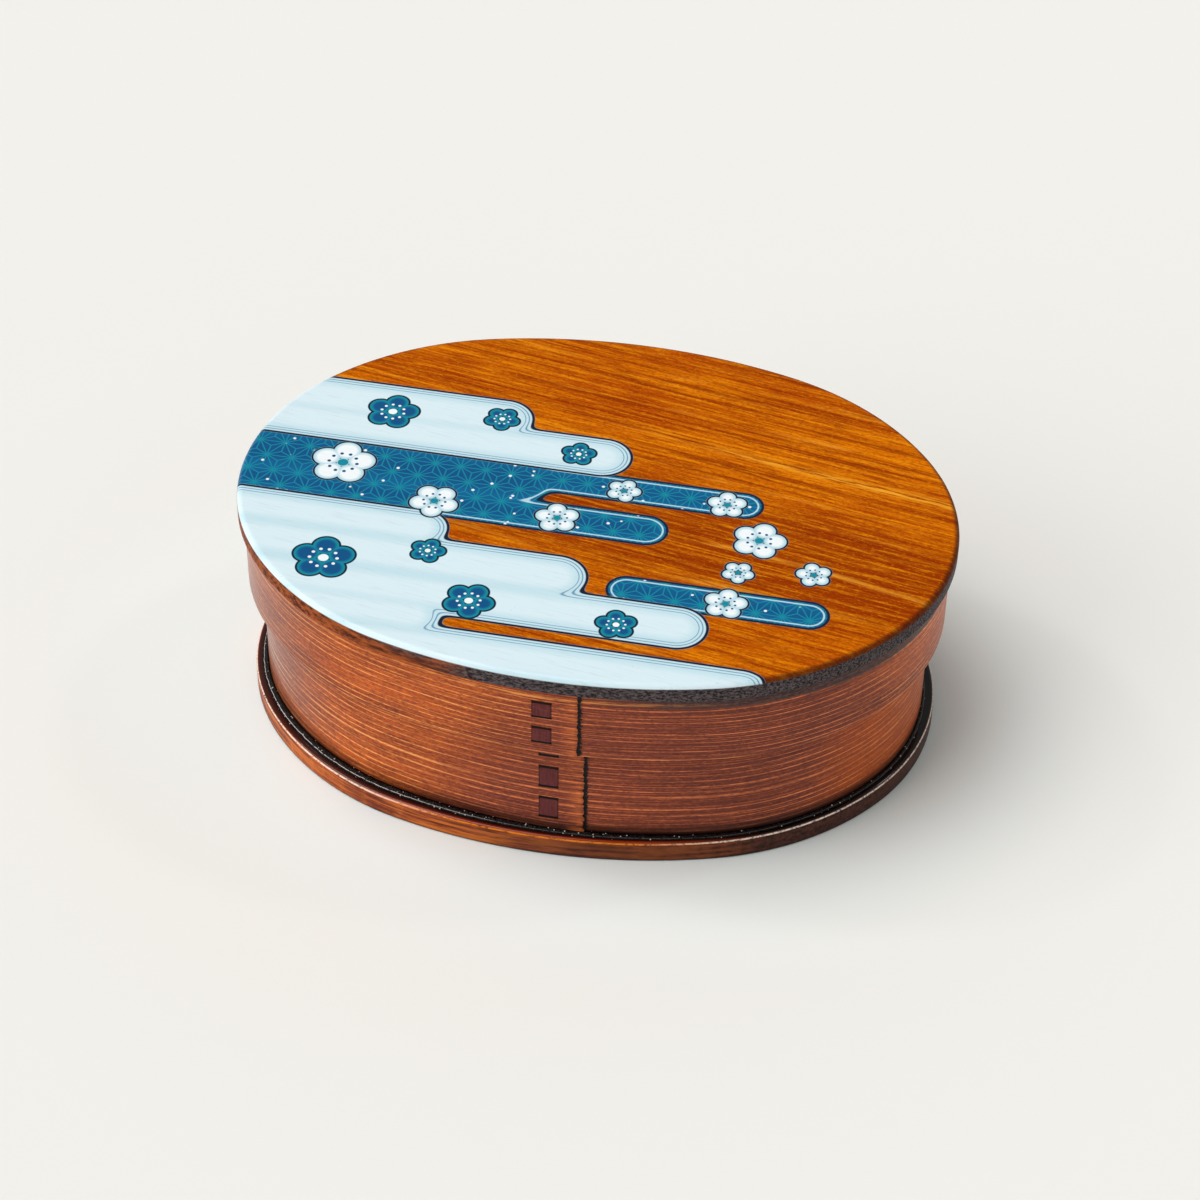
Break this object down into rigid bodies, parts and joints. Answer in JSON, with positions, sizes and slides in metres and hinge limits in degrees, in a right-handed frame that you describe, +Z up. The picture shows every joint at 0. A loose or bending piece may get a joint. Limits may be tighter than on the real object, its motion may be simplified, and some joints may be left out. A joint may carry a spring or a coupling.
{
  "type": "bentwood lunch box",
  "caption": "Oval bentwood lunch box: a bent hoop, lapped and stitched with bark, on a ledged base board, with a hooped lid that lifts straight off.",
  "frame": {"origin": "middle of the base board's underside, under the middle of the lid", "axes": "+X along the length to the right as seen from the front, +Y to the back, +Z up the way the lid lifts; the stitched laps face -Y"},
  "size_m": [0.18, 0.134, 0.06],
  "materials": {
    "base_wood": "gloss",
    "hoop_wood": "satin",
    "lid_wood": "satin",
    "bark": "satin",
    "lacquer_putty": "gloss"
  },
  "bodies": {
    "body": {"base_board": "base_wood", "body_hoop": "hoop_wood", "body_bark_stitch": "bark", "outer_seam_bead": "lacquer_putty", "inner_seam_bead": "lacquer_putty"},
    "lid": {"lid_board": "lid_wood", "lid_hoop": "hoop_wood", "lid_bark_stitch": "bark"}
  },
  "joints": [
    {"name": "lid_lift", "type": "slide", "parent": "body", "child": "lid", "axis": [0, 0, 1], "range_m": [0, 0.08]}
  ]
}
